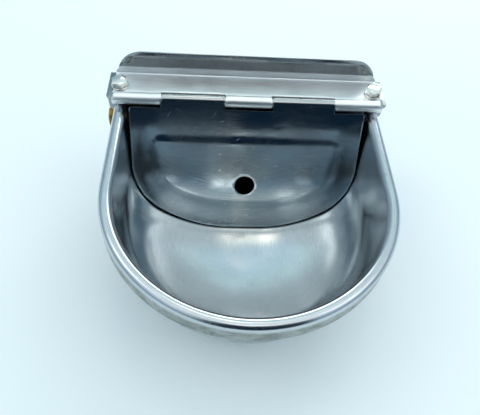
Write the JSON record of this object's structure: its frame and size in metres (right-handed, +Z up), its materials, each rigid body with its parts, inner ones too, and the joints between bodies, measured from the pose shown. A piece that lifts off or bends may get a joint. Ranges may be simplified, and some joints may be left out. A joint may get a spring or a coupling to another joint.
{
  "type": "livestock drinking bowl",
  "caption": "Wall-hung stainless drinking bowl with a rolled rim, a hinged lid with a finger hole over the float chamber, and a brass float valve entering from the left.",
  "frame": {"origin": "midway between the two wall holes, on the rear face of the back plate", "axes": "+Y points into the wall, +Z up, +X to the right for someone facing the bowl, along the hinge"},
  "size_m": [0.2648, 0.254, 0.1457],
  "materials": {
    "bowl_steel": "bright rolled rim, satin inside",
    "plate_steel": "mill finish",
    "bracket_steel": "bright",
    "lid_steel": "bright with fine scratches",
    "pin_steel": "ground",
    "bolt_steel": "bright",
    "valve_brass": "turned, slightly dull",
    "seal_rubber": "matt",
    "nozzle_nylon": "smooth",
    "float_plastic": "moulded, matt"
  },
  "bodies": {
    "bowl": {"basin": "bowl_steel", "back_plate": "plate_steel", "left_ear": "plate_steel", "right_ear": "plate_steel", "hinge_bracket": "bracket_steel", "hinge_pin": "pin_steel", "bracket_bolts": "bolt_steel", "bolt_washers": "bolt_steel", "bolt_nuts": "bolt_steel", "valve_body": "valve_brass", "valve_backnut": "valve_brass", "inlet_washers": "seal_rubber", "valve_nozzle": "nozzle_nylon", "valve_cap": "valve_brass", "lever_pin": "valve_brass"},
    "lid": {"lid": "lid_steel"},
    "float_arm": {"float_lever": "valve_brass", "float": "float_plastic", "float_nut": "valve_brass"},
    "piston": {"valve_piston": "valve_brass", "piston_washer": "seal_rubber"}
  },
  "joints": [
    {"name": "lid_hinge", "type": "hinge", "parent": "bowl", "child": "lid", "pos_m": [0, -0.0355, 0.025], "axis": [-1, 0, 0], "range_deg": [0, 165]},
    {"name": "float_arm_pivot", "type": "hinge", "parent": "bowl", "child": "float_arm", "pos_m": [-0.08811, -0.0212, -0.027], "axis": [0, -1, 0], "range_deg": [0, 15]},
    {"name": "piston_slide", "type": "slide", "parent": "bowl", "child": "piston", "axis": [-1, 0, 0], "range_m": [0, 0.00393]}
  ],
  "couplings": [
    {"joint": "piston_slide", "follows": "float_arm_pivot", "m_per_rad": 0.015}
  ]
}
